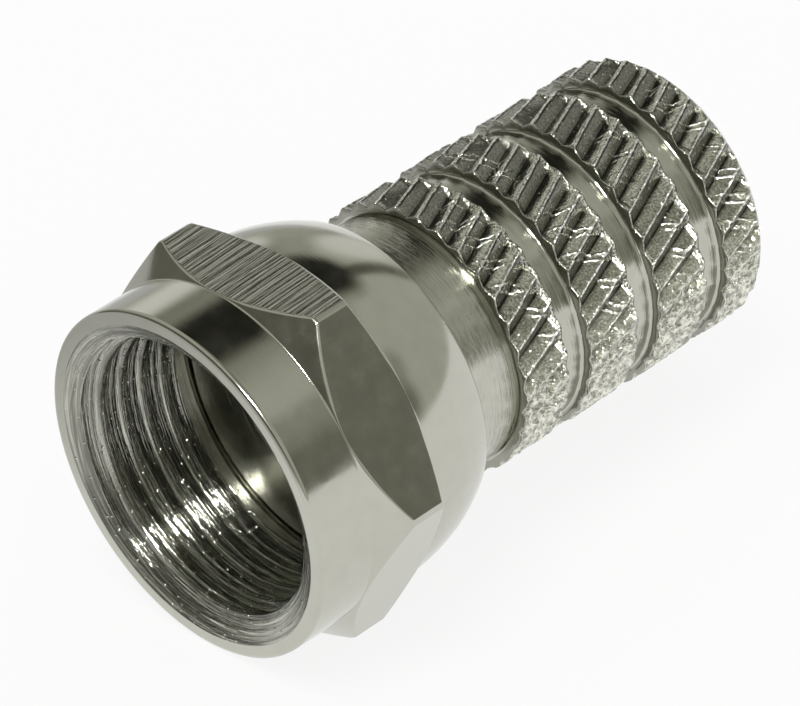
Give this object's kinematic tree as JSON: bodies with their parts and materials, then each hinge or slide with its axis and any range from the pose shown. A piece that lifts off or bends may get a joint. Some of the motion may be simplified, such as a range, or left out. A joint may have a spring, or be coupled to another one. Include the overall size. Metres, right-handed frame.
{
  "type": "twist-on coaxial cable plug",
  "caption": "Twist-on coaxial cable plug: a free-spinning hex coupling nut, threaded inside, held captive on a grooved barrel with diamond knurling.",
  "frame": {"origin": "on the connector's axis, in the plane of the coupling nut's mouth", "axes": "+Y along the connector's axis, from the mouth of the nut to the cable end; +Z out of one hex flat, so the part lies on the opposite flat"},
  "size_m": [0.0128, 0.0193, 0.0112],
  "materials": {
    "nut_plate": "bright nickel plate on brass, turned smooth, with lengthwise grain on the flats",
    "barrel_plate": "bright nickel plate on brass over turning marks and rolled knurling"
  },
  "bodies": {
    "barrel": {"knurled_barrel": "barrel_plate"},
    "nut": {"coupling_nut": "nut_plate"}
  },
  "joints": [
    {"name": "nut_spin", "type": "hinge", "parent": "barrel", "child": "nut", "pos_m": [0, 0.005, 0], "axis": [0, 1, 0], "continuous": true}
  ]
}
